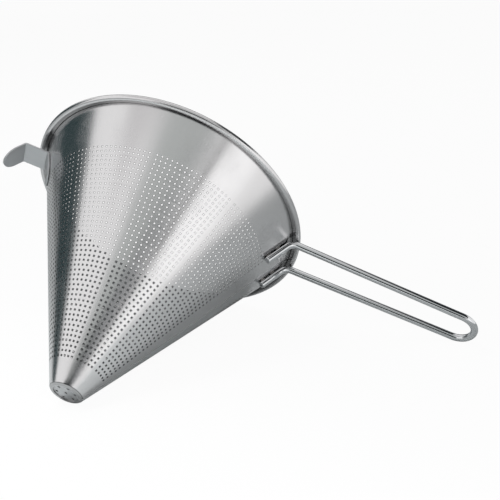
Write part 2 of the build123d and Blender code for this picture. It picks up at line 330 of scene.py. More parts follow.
@dataclass
class Nodes:
    """Short calls for building one node tree."""

    tree: Tree

    def add(self, kind: str, **settings: object) -> bpy.types.Node:
        """Add a node and set its properties.

        Args:
            kind: Type of the node.
            settings: Its properties by name.

        Returns:
            The new node.
        """
        node = self.tree.nodes.new(kind)
        for name, value in settings.items():
            setattr(node, name, value)
        return node

    def link(self, source: Socket, target: Socket) -> None:
        """Join two sockets."""
        self.tree.links.new(source, target)

    def feed(self, socket: Socket, value: object) -> None:
        """Give a socket a number, a colour or the output of another node.

        Args:
            socket: An input.
            value: What it gets.
        """
        if isinstance(value, Socket):
            self.link(value, socket)
        else:
            socket.default_value = value

    def math(self, operation: str, first: object, second: object = 0.5, clamp: bool = False) -> Socket:
        """Add a Math node and return its result.

        Args:
            operation: What it does.
            first: Its first value.
            second: Its second value.
            clamp: Whether the result stays between 0 and 1.

        Returns:
            The result.
        """
        node = self.add("ShaderNodeMath", operation=operation, use_clamp=clamp)
        self.feed(node.inputs[0], first)
        self.feed(node.inputs[1], second)
        return node.outputs[0]

    def times(self, first: object, second: object, clamp: bool = False) -> Socket:
        """Multiply two values."""
        return self.math("MULTIPLY", first, second, clamp)

    def plus(self, first: object, second: object, clamp: bool = False) -> Socket:
        """Add two values."""
        return self.math("ADD", first, second, clamp)

    def attribute(self, name: str, output: str = "Fac") -> Socket:
        """Return an attribute of the points."""
        return self.add("ShaderNodeAttribute", attribute_name=name).outputs[output]

    def group(self, tree: Tree, **values: object) -> bpy.types.NodeOutputs:
        """Add a node group, fill its sockets and return its outputs.

        Args:
            tree: The group.
            values: What its inputs get, by name.

        Returns:
            The outputs of the node.
        """
        node = self.add("ShaderNodeGroup", node_tree=tree)
        for name, value in values.items():
            self.feed(node.inputs[name], value)
        return node.outputs

    def split(self, vector: Socket) -> bpy.types.NodeOutputs:
        """Return the three parts of a vector.

        Args:
            vector: The vector.

        Returns:
            The outputs of the node, one for each axis.
        """
        parts = self.add("ShaderNodeSeparateXYZ")
        self.link(vector, parts.inputs[0])
        return parts.outputs

    def seen_directly(self, path: bpy.types.Node) -> Socket:
        """Return 1 for what the camera sees, also through something clear."""
        return self.math("MAXIMUM", path.outputs["Is Camera Ray"], path.outputs["Is Transmission Ray"])

    def blend(self, factor: Socket, first: Socket, second: Socket) -> None:
        """Mix two shaders and give the material the result.

        Args:
            factor: Share of the second shader.
            first: The first shader.
            second: The second shader.
        """
        node = self.add("ShaderNodeMixShader")
        for source, target in zip((factor, first, second), node.inputs):
            self.link(source, target)
        self.link(node.outputs[0], self.tree.nodes["Material Output"].inputs["Surface"])

    def noise(self, vector: Socket, scale: object, detail: float, rough: float = 0.5) -> Socket:
        """Add a Noise Texture and return its value.

        Args:
            vector: Where it is read.
            scale: How fine it is.
            detail: How many finer layers it has.
            rough: How strong the finer layers are.

        Returns:
            Its value.
        """
        node = self.add("ShaderNodeTexNoise")
        self.link(vector, node.inputs["Vector"])
        self.feed(node.inputs["Scale"], scale)
        node.inputs["Detail"].default_value = detail
        node.inputs["Roughness"].default_value = rough
        return node.outputs["Fac"]

    def spread(self, value: Socket, low: float, high: float) -> Socket:
        """Map a value smoothly from one range to the range of 0 to 1.

        Args:
            value: The value.
            low: What becomes 0.
            high: What becomes 1.

        Returns:
            The mapped value.
        """
        node = self.add("ShaderNodeMapRange", interpolation_type="SMOOTHSTEP")
        self.link(value, node.inputs["Value"])
        node.inputs["From Min"].default_value = low
        node.inputs["From Max"].default_value = high
        return node.outputs["Result"]

    def mix(self, factor: Socket, first: object, second: object) -> Socket:
        """Mix two colours and return the result.

        Args:
            factor: Share of the second colour.
            first: The first colour.
            second: The second colour.

        Returns:
            The mixed colour.
        """
        node = self.add("ShaderNodeMix", data_type="RGBA")
        self.feed(node.inputs[0], factor)
        self.feed(node.inputs[6], first)
        self.feed(node.inputs[7], second)
        return node.outputs[2]


def new_material(name: str) -> tuple[Material, Nodes]:
    """Return a new material and its nodes.

    Args:
        name: Name of the material.

    Returns:
        The material and the short calls for its nodes.
    """
    material = bpy.data.materials.new(name)
    material.use_nodes = True
    return material, Nodes(material.node_tree)


class Effects:
    """Node groups that several finishes share, each built once."""

    def __init__(self) -> None:
        """Build all the groups."""
        self.grain = self._grain()
        self.marks = self._marks()
        self.edge = self._edge()
        self.crevice_shade = self._crevice_shade()

    @staticmethod
    def _new(name: str, takes: str, gives: str) -> tuple:
        """Start a node group.

        Args:
            name: Name of the group.
            takes: Names of its inputs. Grain and Place are vectors and the others numbers.
            gives: Names of its outputs, all numbers.

        Returns:
            The group, its nodes, its inputs and its outputs.
        """
        tree = bpy.data.node_groups.new(name, "ShaderNodeTree")
        for way, labels in (("INPUT", takes), ("OUTPUT", gives)):
            for label in labels.split():
                kind = "NodeSocketVector" if label in ("Grain", "Place") else "NodeSocketFloat"
                tree.interface.new_socket(name=label, in_out=way, socket_type=kind)
        nodes = Nodes(tree)
        return tree, nodes, nodes.add("NodeGroupInput").outputs, nodes.add("NodeGroupOutput").inputs

    def _grain(self) -> Tree:
        """Build the group of fine brushed lines.

        Returns:
            The group.
        """
        tree, n, takes, gives = self._new("brushed_grain", "Grain Across Along", "Lines Drift")
        parts = n.split(takes["Grain"])
        joined = n.add("ShaderNodeCombineXYZ")
        n.link(n.times(parts[0], takes["Across"]), joined.inputs[0])
        n.link(n.times(parts[1], takes["Along"]), joined.inputs[1])
        n.link(parts[2], joined.inputs[2])
        fine = n.noise(joined.outputs[0], scale=1.0, detail=3.0, rough=0.65)
        broad = n.noise(joined.outputs[0], scale=0.13, detail=2.0)
        n.link(n.spread(fine, low=0.3, high=0.7), gives["Lines"])
        n.link(n.spread(broad, low=0.3, high=0.7), gives["Drift"])
        return tree

    def _marks(self) -> Tree:
        """Build the group of soft smudges and small scuffs.

        Returns:
            The group.
        """
        tree, n, takes, gives = self._new("handling_marks", "Place Size", "Smudge Scuff")
        scale = n.math("DIVIDE", 1.0, takes["Size"])
        cloud = n.noise(takes["Place"], scale, detail=4.0, rough=0.55)
        n.link(n.spread(cloud, low=0.42, high=0.68), gives["Smudge"])
        fine = n.noise(takes["Place"], n.times(scale, SCUFFS_PER_SMUDGE), detail=5.0, rough=0.7)
        n.link(n.spread(fine, low=0.6, high=0.72), gives["Scuff"])
        return tree

    def _edge(self) -> Tree:
        """Build the group of brighter, rubbed edges.

        Returns:
            The group.
        """
        tree, n, takes, gives = self._new("rubbed_edge", "Edge Place Break", "Mask")
        broken = n.spread(n.noise(takes["Place"], scale=900.0, detail=3.0), low=0.3, high=0.6)
        lost = n.times(n.math("SUBTRACT", 1.0, broken), takes["Break"])
        n.link(n.times(takes["Edge"], n.math("SUBTRACT", 1.0, lost), clamp=True), gives["Mask"])
        return tree

    def _crevice_shade(self) -> Tree:
        """Build the group of painted shade in narrow gaps, from ambient occlusion.

        Returns:
            The group.
        """
        tree, n, takes, gives = self._new("painted_crevice_shade", "Reach", "Mask")
        shut = n.add("ShaderNodeAmbientOcclusion", samples=6, only_local=False)
        n.link(takes["Reach"], shut.inputs["Distance"])
        n.link(n.spread(shut.outputs["AO"], low=0.62, high=0.2), gives["Mask"])
        return tree


@dataclass(frozen=True)
class SteelFinish:
    """A stainless finish with brushed lines, smudges, rubbed edges, and painted shade in narrow gaps and on
    marked points.
    """

    name: str
    colour: Triple
    shade: Triple
    roughness: float
    rough_lines: float = 0.05
    rough_smudge: float = 0.05
    brushing: Brushing = Brushing.ALONG
    line_width: float = 0.12 * MM
    bump: float = 0.08
    bump_depth: float = 0.02 * MM
    smudge_size: float = 30.0 * MM
    tone: float = 0.35
    edge_gain: float = 0.4
    lines_on_solid: bool = False
    # Share of painted shade on the inner face, darker towards the tip.
    inner_shade: float = 0.0
    # Painted shade on marked points: dark rings at the hole rims, under the rolled edge, and on the tip's
    # ring and edge.
    painted_shade: float = 0.92
    painted_shade_range: Pair = (0.62, 1.0)
    painted_shade_colour: Triple = (0.03, 0.032, 0.033)
    # Painted shade in narrow gaps: the colour turns near-black where ambient occlusion within the crevice
    # reach is strong.
    crevice_shade_share: float = 0.85
    crevice_shade_colour: Triple = (0.03, 0.034, 0.035)
    crevice_reach: float = 2.2 * MM
    edge_break: float = 0.5
    edge_bright: float = 1.25
    drift_share: float = 0.5
    scuff_share: float = 0.6

    def build(self, effects: Effects) -> Material:
        """Make the material.

        Args:
            effects: The shared node groups.

        Returns:
            The finished material.
        """
        material, n = new_material(self.name)
        shader = material.node_tree.nodes["Principled BSDF"]
        place = n.add("ShaderNodeTexCoord").outputs["Object"]
        grain = place if self.lines_on_solid else n.attribute("grain", "Vector")
        across, along = (share / self.line_width for share in self.brushing.value)
        lines = n.group(effects.grain, Grain=grain, Across=across, Along=along)
        marks = n.group(effects.marks, Place=place, Size=self.smudge_size)
        worn = n.group(effects.edge, Edge=n.attribute("edge"), Place=place, Break=self.edge_break)
        tone = n.times(marks["Smudge"], self.tone)
        tone = n.plus(tone, n.times(lines["Drift"], self.tone * self.drift_share), clamp=True)
        colour = n.mix(tone, (*self.colour, 1.0), (*self.shade, 1.0))
        bright = tuple(min(1.0, c * self.edge_bright) for c in self.colour)
        colour = n.mix(n.times(worn["Mask"], self.edge_gain), colour, (*bright, 1.0))
        if self.inner_shade:
            inside = n.times(n.attribute("inside"), self.inner_shade)
            # Painted shade: the darkened inner face and the marked points turn towards a near-black colour.
            painted_shade = n.times(n.spread(n.attribute("painted_shade"), *self.painted_shade_range), self.painted_shade)
            colour = n.mix(n.math("MAXIMUM", inside, painted_shade), colour, (*self.painted_shade_colour, 1.0))
        # Painted shade in narrow gaps, from ambient occlusion.
        crevice_shade = n.group(effects.crevice_shade, Reach=self.crevice_reach)
        crevice_shade_share = n.times(crevice_shade["Mask"], self.crevice_shade_share)
        n.link(n.mix(crevice_shade_share, colour, (*self.crevice_shade_colour, 1.0)), shader.inputs["Base Color"])
        rough = n.times(n.math("SUBTRACT", lines["Lines"], 0.5), self.rough_lines * 2)
        rough = n.plus(rough, n.times(marks["Smudge"], self.rough_smudge))
        rough = n.plus(rough, n.times(marks["Scuff"], self.rough_smudge * self.scuff_share))
        n.link(n.plus(rough, self.roughness, clamp=True), shader.inputs["Roughness"])
        bump = n.add("ShaderNodeBump")
        bump.inputs["Strength"].default_value = self.bump
        bump.inputs["Distance"].default_value = self.bump_depth
        n.link(lines["Lines"], bump.inputs["Height"])
        n.link(bump.outputs["Normal"], shader.inputs["Normal"])
        shader.inputs["Metallic"].default_value = 1.0
        return material


FINISHES = (
    # The sheet carries painted shade on its inner face towards the tip.
    SteelFinish("satin_sheet", (0.708, 0.70, 0.704), (0.658, 0.65, 0.654), 0.2, inner_shade=0.62),
    SteelFinish(
        "tip_sheet", (0.56, 0.56, 0.565), (0.47, 0.47, 0.475), 0.34,
        brushing=Brushing.AROUND, lines_on_solid=True,
    ),
    SteelFinish(
        "polished_wire", (0.70, 0.71, 0.72), (0.65, 0.66, 0.67), 0.05,
        rough_lines=0.01, rough_smudge=0.02, line_width=0.2 * MM, bump=0.004,
    ),
    SteelFinish("plain_wire", (0.55, 0.56, 0.57), (0.48, 0.49, 0.50), 0.3, lines_on_solid=True),
    SteelFinish(
        "matte_strap", (0.55, 0.56, 0.57), (0.49, 0.50, 0.51), 0.42,
        rough_lines=0.06, line_width=0.25 * MM, bump=0.12,
    ),
    SteelFinish(
        "weld_metal", (0.42, 0.40, 0.38), (0.30, 0.29, 0.30), 0.45,
        brushing=Brushing.CLOUDY, line_width=0.4 * MM, bump=0.5, bump_depth=0.08 * MM,
        smudge_size=2.0 * MM,
    ),
    SteelFinish(
        "ground_seam", (0.62, 0.62, 0.62), (0.55, 0.55, 0.56), 0.3, bump=0.12, lines_on_solid=True
    ),
)


def add_values(mesh: bpy.types.Mesh, name: str, values: Array) -> None:
    """Give each point of a mesh one value."""
    new = mesh.attributes.new(name, "FLOAT", "POINT")
    new.data.foreach_set("value", values.astype(np.float32))


def new_piece(name: str, shape: Shape, material: Material, sharp: float = 50.0) -> Object:
    """Make one piece of the strainer and fix it to the frame.

    Args:
        name: Name of the piece.
        shape: Its points in the frame, its faces as point numbers, a value for each
            point that is 1 on a rubbed edge, and its coordinates for the brushed lines.
        material: Its finish.
        sharp: Faces that meet at more than this angle, in degrees, keep a hard edge.

    Returns:
        The new object.
    """
    points, faces, edge, grain = shape
    mesh = bpy.data.meshes.new(name)
    mesh.from_pydata(points.tolist(), [], faces)
    mesh.validate()
    add_values(mesh, "edge", edge)
    lines = mesh.attributes.new("grain", "FLOAT_VECTOR", "POINT")
    lines.data.foreach_set("vector", grain.astype(np.float32).ravel())
    mesh.polygons.foreach_set("use_smooth", [True] * len(mesh.polygons))
    mesh.set_sharp_from_angle(angle=math.radians(sharp))
    mesh.materials.append(material)
    piece = bpy.data.objects.new(name, mesh)
    bpy.context.scene.collection.objects.link(piece)
    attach(piece, "root")
    log.info("piece %s: %d points, %d faces", name, len(points), len(faces))
    return piece


@dataclass
class SheetSection:
    """Section of the cone's sheet, from the tip opening to the end of the curl."""

    sizes: StrainerSizes
    tip_arc: Array

    def __post_init__(self) -> None:
        """Work out where the straight wall starts and ends."""
        sizes, tip_arc = self.sizes, self.tip_arc
        self.apex = np.array([0.0, sizes.apex_height])
        self.rim = np.array([sizes.rim_radius, 0.0])
        self.top = float((self.rim - self.apex) @ sizes.up_wall)
        self.bottom = float((tip_arc - self.apex) @ sizes.up_wall)
        self.corner_length = sizes.tip_corner * (math.pi / 2 - sizes.wall_angle)
        self.flange_length = float(tip_arc[0]) - sizes.tip_opening / 2
        quarter = math.pi / 2 * sizes.rim_wire / 2
        back = sizes.wall_gap - sizes.curl_gap
        self.curl_runs = np.cumsum([0.0, quarter, sizes.curl_slack, quarter * 2, back])

    def radius(self, slant: float) -> float:
        """Return the outside radius at a distance along the section."""
        return float(self.at(np.array([slant]))[0][0, 0])

    def at(self, slant: Array) -> tuple[Array, Array]:
        """Return points and outward directions, as radius and height.

        Args:
            slant: Distances along the section, from the apex of the wall.

        Returns:
            The points of the outer face and the directions out of it.
        """
        s, sizes = np.asarray(slant, float), self.sizes
        point = self.apex + s[:, None] * sizes.up_wall
        out = np.tile(sizes.off_wall, (len(s), 1))
        curl = s > self.top
        wire, runs = sizes.rim_wire / 2, self.curl_runs
        reach = s[curl] - self.top
        bent = np.clip(reach, 0, runs[1]) + np.clip(reach, runs[2], runs[3]) - runs[2]
        turn = math.pi - sizes.wall_angle - bent / wire
        spoke = np.stack([np.cos(turn), np.sin(turn)], 1)
        slide = np.clip(reach, runs[1], runs[2]) - runs[2] - np.clip(reach - runs[3], 0, None)
        point[curl] = self.rim + spoke * wire + slide[:, None] * sizes.off_wall
        out[curl] = -spoke
        corner = s < self.bottom
        bent = (self.bottom - s[corner]) / sizes.tip_corner
        turn = -sizes.wall_angle - np.clip(bent, 0, self.corner_length / sizes.tip_corner)
        spoke = np.stack([np.cos(turn), np.sin(turn)], 1)
        flange = np.clip(self.bottom - s[corner] - self.corner_length, 0, None)
        point[corner] = self.tip_arc + spoke * sizes.tip_corner - np.stack([flange, flange * 0], 1)
        out[corner] = spoke
        return point, out


@dataclass
class PerforatedCone:
    """The cone: a rolled sheet with rings of small round holes and a rolled edge."""

    sizes: StrainerSizes
    pose: RestPose
    hole: float = 1.3 * MM
    hole_shares: Pair = (0.92, 1.45)
    hole_corners: int = 8
    first_holes: int = 5
    rings: tuple = (3, 4, 4, 4, 3, 4, 4, 4, 3, 3, 3, 3, 2)
    sectors: int = 8
    sector_angle: float = math.radians(42.25)
    sector_margin: float = 0.5
    seam_shares: tuple = (0.25, 0.5, 0.75, 1.0)
    first_corner: float = math.pi * 1.25
    tip_blank: float = 17.0 * MM
    rim_blank: float = 32.3 * MM
    joint_strip: float = 0.4 * MM
    # Painted shade on the inner face: full below the first slant, none above the second.
    full_shade_below: float = 70.0 * MM
    no_shade_above: float = 150.0 * MM
    # Painted shade under the tucked part of the rolled edge and on the tip's ring.
    tucked_share: float = 0.75
    tucked_shade: float = 0.8
    tip_shade: float = 0.78
    curl_steps: tuple = (9, 2, 18, 3)
    corner_steps: int = 6
    tip_steps: int = 4
    rim_steps: int = 10
    grain_radius: float = 0.09
    inner_grain_shift: Triple = (3.0, 0.0, 1.0)
    digits: int = 7
    points: dict = field(default_factory=dict)
    hole_middles: dict = field(default_factory=dict)
    faces: list = field(default_factory=list)

    def __post_init__(self) -> None:
        """Prepare the section and the places of the rings."""
        self.section = SheetSection(self.sizes, self.pose.tip_arc)
        self.first = self.sizes.tip_outside / 2 / math.sin(self.sizes.wall_angle) + self.tip_blank
        self.last = self.section.top - self.rim_blank
        self.spacing = (self.last - self.first) / (sum(self.rings) - 1)
        blank = math.tau - self.sectors * self.sector_angle
        self.sector_start = self.sizes.seam_azimuth + blank / 2

    def point(self, slant: float, azimuth: float) -> int:
        """Return the number of the point at a place of the sheet."""
        key = round(slant, self.digits), round(azimuth, self.digits)
        return self.points.setdefault(key, len(self.points))

    def columns(self, slant: float, holes: int) -> list[tuple[float, bool]]:
        """List where the columns of a ring stand.

        Args:
            slant: Distance along the section.
            holes: Holes in each sector of the ring.

        Returns:
            The azimuths of the columns in order, each with a flag for a hole on its far side.
        """
        step = self.sector_angle / (holes + self.sector_margin)
        lines = []
        for sector in range(self.sectors):
            start = self.sector_start + sector * self.sector_angle + step * self.sector_margin / 2
            lines += [(start + step * place, place < holes) for place in range(holes + 1)]
        first, last = lines[0][0], lines[-1][0]
        side = math.asin(self.sizes.seam_width / 2 / self.section.radius(slant))
        low, high = self.sizes.seam_azimuth + side, self.sizes.seam_azimuth + (math.tau - side)
        before = [(first + (low - first) * share, False) for share in reversed(self.seam_shares)]
        return before + lines + [(last + (high - last) * share, False) for share in self.seam_shares]

    def cells(self, low: float, high: float, holes: int) -> Iterator[tuple[tuple, float, bool]]:
        """Go round one row of the sheet.

        Args:
            low: Lower edge of the row along the section.
            high: Upper edge of the row.
            holes: Holes in each sector.

        Yields:
            The four corners of a cell, the azimuth of its middle and whether it holds a hole.
        """
        under, over = self.columns(low, holes), self.columns(high, holes)
        for k, (left, has_hole) in enumerate(under[:-1]):
            right = under[k + 1][0]
            places = ((low, left), (low, right), (high, over[k + 1][0]), (high, over[k][0]))
            yield tuple(self.point(*place) for place in places), (left + right) / 2, has_hole

    def ring(self, low: float, high: float, centre: float, holes: int) -> None:
        """Lay one ring of holes with the sheet around them.

        Args:
            low: Lower edge of the ring along the section.
            high: Upper edge of the ring.
            centre: Middle of the holes.
            holes: Holes in each sector.
        """
        n, half, radius = self.hole_corners, self.hole / 2, self.section.radius(centre)
        turns = [self.first_corner + math.tau * k / n for k in range(n)]
        for corners, middle, has_hole in self.cells(low, high, holes):
            if not has_hole:
                self.faces.append(corners)
                continue
            places = [(centre + half * math.sin(t), middle + half * math.cos(t) / radius) for t in turns]
            rim = [self.point(*place) for place in places]
            self.hole_middles.update(dict.fromkeys(rim, (centre, middle)))
            for k in range(4):
                arc = [rim[(k * n // 4 + j) % n] for j in range(n // 4, -1, -1)]
                self.faces.append((corners[k], corners[(k + 1) % 4], *arc))

    def strip(self, low: float, high: float, below: int, above: int) -> None:
        """Join two rings that have different columns.

        Args:
            low: Upper edge of the ring below.
            high: Lower edge of the ring above.
            below: Holes in each sector below.
            above: Holes in each sector above.
        """
        under = [azimuth for azimuth, _ in self.columns(low, below)]
        over = [azimuth for azimuth, _ in self.columns(high, above)]
        i = j = 0
        while i < len(under) - 1 or j < len(over) - 1:
            a, b = self.point(low, under[i]), self.point(high, over[j])
            if i == len(under) - 1 or (j < len(over) - 1 and over[j + 1] < under[i + 1]):
                j += 1
                self.faces.append((a, self.point(high, over[j]), b))
            else:
                i += 1
                self.faces.append((a, self.point(low, under[i]), b))

    def plain(self, slants: list[float], holes: int) -> None:
        """Lay rows of sheet without holes, on the columns of a ring with so many holes."""
        for low, high in zip(slants, slants[1:]):
            self.faces += [corners for corners, _, _ in self.cells(low, high, holes)]

    def lay_out(self) -> None:
        """Lay the whole outer face of the sheet."""
        s, half = self.section, self.spacing / 2
        last_holes = self.first_holes + len(self.rings) - 1
        corner = s.bottom - s.corner_length
        tip = [corner - s.flange_length, *np.linspace(corner, s.bottom, self.corner_steps + 1)]
        tip += list(np.linspace(s.bottom, self.first - half, self.tip_steps + 1)[1:])
        self.plain([float(v) for v in tip], self.first_holes)
        centre = self.first
        for holes, rings in enumerate(self.rings, self.first_holes):
            for k in range(rings):
                joint_below = k == 0 and holes != self.first_holes
                joint_above = k == rings - 1 and holes != last_holes
                low = centre - half + (self.joint_strip / 2 if joint_below else 0.0)
                high = centre + half - (self.joint_strip / 2 if joint_above else 0.0)
                if joint_below:
                    self.strip(low - self.joint_strip, low, holes - 1, holes)
                self.ring(low, high, centre, holes)
                centre += self.spacing
        top = list(np.linspace(self.last + half, s.top, self.rim_steps + 1))
        for start, end, steps in zip(s.curl_runs, s.curl_runs[1:], self.curl_steps):
            top += list(np.linspace(s.top + start, s.top + end, steps + 1)[1:])
        self.plain([float(v) for v in top], last_holes)

    def solid(self) -> Shape:
        """Give the laid sheet its thickness.

        Returns:
            Points, faces, edge values and grain coordinates of the closed sheet.
        """
        keys = np.array(list(self.points.keys()))
        rims = np.array(list(self.hole_middles.keys()))
        middles = np.array(list(self.hole_middles.values()))
        rounds = []
        for hole_share, depth in zip(self.hole_shares, (0.0, self.sizes.sheet)):
            places = keys.copy()
            places[rims] = middles + (keys[rims] - middles) * hole_share
            section, out = self.section.at(places[:, 0])
            flat = section - out * depth
            turn = places[:, 1]
            rounds.append(np.stack([flat[:, 0] * np.cos(turn), flat[:, 0] * np.sin(turn), flat[:, 1]], 1))
        count, rim = len(keys), open_edges(self.faces)
        edge = np.zeros(count * 2)
        touched = np.array([v for pair in rim for v in pair])
        edge[touched] = edge[touched + count] = 1.0
        flat = np.stack([keys[:, 1] * self.grain_radius, keys[:, 0], np.zeros(count)], 1)
        grain = np.vstack([flat, flat + np.array(self.inner_grain_shift)])
        points = self.pose.place(np.vstack(rounds))
        return points, two_sided(self.faces, count, rim), edge, grain

    def mark(self, piece: Object) -> None:
        """Mark the painted shade: the inner face darker towards the tip, a dark ring at each hole rim, the
        tucked part of the rolled edge, the tip's ring and a dark line at the tip's edge.

        Args:
            piece: The cone's object.
        """
        slant = np.array(list(self.points.keys()))[:, 0]
        # Painted shade on the inner face, darker towards the tip.
        deep_inner_shade = np.clip((self.no_shade_above - slant) / (self.no_shade_above - self.full_shade_below), 0, 1)
        runs, s = self.section.curl_runs, self.section
        # Painted shade growing along the tucked part of the rolled edge.
        tucked = s.top + runs[2] + (runs[3] - runs[2]) * self.tucked_share
        painted_shade = np.clip((slant - tucked) / (s.top + runs[3] - tucked), 0, 1) * self.tucked_shade
        # Painted shade: dark rings at the hole rims, a darker tip ring and a dark line at the tip's edge.
        painted_shade[list(self.hole_middles)] = 1.0
        step = s.corner_length / self.corner_steps
        painted_shade[slant < s.bottom - step] = self.tip_shade
        painted_shade[np.abs(slant - s.bottom + step) < step / 2] = 1.0
        add_values(piece.data, "inside", np.concatenate([deep_inner_shade * 0, deep_inner_shade]))
        add_values(piece.data, "painted_shade", np.concatenate([painted_shade, painted_shade]))

    def build(self, material: Material) -> None:
        """Make the cone with a finish.

        Args:
            material: The finish.
        """
        self.lay_out()
        piece = new_piece("perforated_cone", self.solid(), material)
        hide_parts("cone_body")
        self.mark(piece)
        holes = sum(rings * holes for holes, rings in enumerate(self.rings, self.first_holes))
        log.info("cone: %d rings, %d holes", sum(self.rings), holes * self.sectors)


@dataclass
class WireHandle:
    """The handle: one bent wire whose two ends lie on the cone."""

    sizes: StrainerSizes
    pose: RestPose
    line: HandleLine
    around: int = 32
    end_round: float = 0.6 * MM
    end_steps: int = 4
    nugget: Triple = (2.6 * MM, 1.7 * MM, 1.0 * MM)
    nugget_places: Pair = (3.7 * MM, 13.2 * MM)
    nugget_sink: float = 0.1 * MM
    seed: int = 7
    bulges: int = 6
    bulge_rate: float = 3.0
    bulge_height: float = 0.03
    flatness: float = 0.85

    def end_ring(self, centre: Array, inward: Array, turn: float) -> tuple:
        """Return the middle, radius and wear of one ring of a rounded end."""
        middle = centre + inward * self.end_round * (1 - math.sin(turn))
        return middle, self.line.wire - self.end_round * (1 - math.cos(turn)), 1.0

    def tube(self) -> Shape:
        """Sweep the wire along its centre line.

        Returns:
            Points, faces, edge values and grain coordinates.
        """
        line = self.line.points()
        ahead = unit_rows(np.gradient(line, axis=0))
        side = np.cross(ahead[0], [0.0, 1.0, 0.0])
        steps = [math.pi / 2 * k / self.end_steps for k in range(self.end_steps + 1)]
        n, last = self.around, len(line) - 1
        turns = np.linspace(0, math.tau, n, endpoint=False)
        rings, edge, grain = [], [], []
        for k, (centre, along, reach) in enumerate(zip(line, ahead, run_along(line))):
            side = unit(side - along * (side @ along))
            spread = np.cross(along, side)
            if k == 0:
                rows = [self.end_ring(centre, along, t) for t in reversed(steps)]
            elif k == last:
                rows = [self.end_ring(centre, -along, t) for t in steps]
            else:
                rows = [(centre, self.line.wire, 0.0)]
            for middle, radius, worn in rows:
                spokes = np.cos(turns)[:, None] * side + np.sin(turns)[:, None] * spread
                rings.append(middle + radius * spokes)
                edge.append(worn)
                grain.append(np.stack([turns * self.line.wire, np.full(n, reach), turns * 0], 1))
        count = (len(rings) - 1) * n
        faces = [face for start in range(0, count, n) for face in ring_faces(start, start + n, n)]
        faces += [tuple(reversed(range(n))), tuple(range(count, count + n))]
        return self.pose.place(np.vstack(rings)), faces, np.repeat(edge, n), np.vstack(grain)

    def build(self, wire: Material, weld: Material) -> None:
        """Make the wire and its weld nuggets.

        Args:
            wire: Finish of the wire.
            weld: Finish of the nuggets.
        """
        piece = new_piece("wire_handle", self.tube(), wire)
        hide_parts("handle_loop")
        random = np.random.default_rng(self.seed)
        rows, faces, total = [], [], 0
        for side in (1.0, -1.0):
            low = np.array([self.line.low[0], side * self.line.side, self.line.low[1]])
            along = unit(self.line.on_grip(0.0, side * self.line.side) - low)
            azimuth = math.atan2(low[1], low[0])
            off = self.sizes.off_wall
            normal = np.array([math.cos(azimuth) * off[0], math.sin(azimuth) * off[0], off[1]])
            for place in self.nugget_places:
                centre = low + along * place - normal * (self.line.wire - self.nugget_sink)
                ball, ball_faces = self.lump(random)
                spread = np.cross(normal, along)
                axes = np.stack([along, spread, normal]) * np.array(self.nugget)[:, None]
                rows.append(centre + ball @ axes)
                faces += [tuple(v + total for v in face) for face in ball_faces]
                total += len(ball)
        lumps = np.vstack(rows)
        shape = (self.pose.place(lumps), faces, np.zeros(total), lumps)
        piece = new_piece("handle_nuggets", shape, weld)
        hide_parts("handle_welds")

    def lump(self, random: np.random.Generator) -> tuple[Array, list]:
        """Return one uneven round lump of unit size, with its faces.

        Args:
            random: Source of the unevenness.

        Returns:
            The points and the faces of the lump.
        """
        ball = bmesh.new()
        bmesh.ops.create_icosphere(ball, subdivisions=4, radius=1.0)
        points = np.array([v.co[:] for v in ball.verts])
        faces = [tuple(v.index for v in face.verts) for face in ball.faces]
        ball.free()
        waves = random.normal(size=(self.bulges, 3)) * self.bulge_rate
        phases = random.uniform(0, math.tau, self.bulges)
        bulge = sum(np.sin(points @ wave + phase) for wave, phase in zip(waves, phases))
        points = np.sign(points) * np.abs(points) ** self.flatness
        return points * (1.0 + bulge * self.bulge_height)[:, None], faces


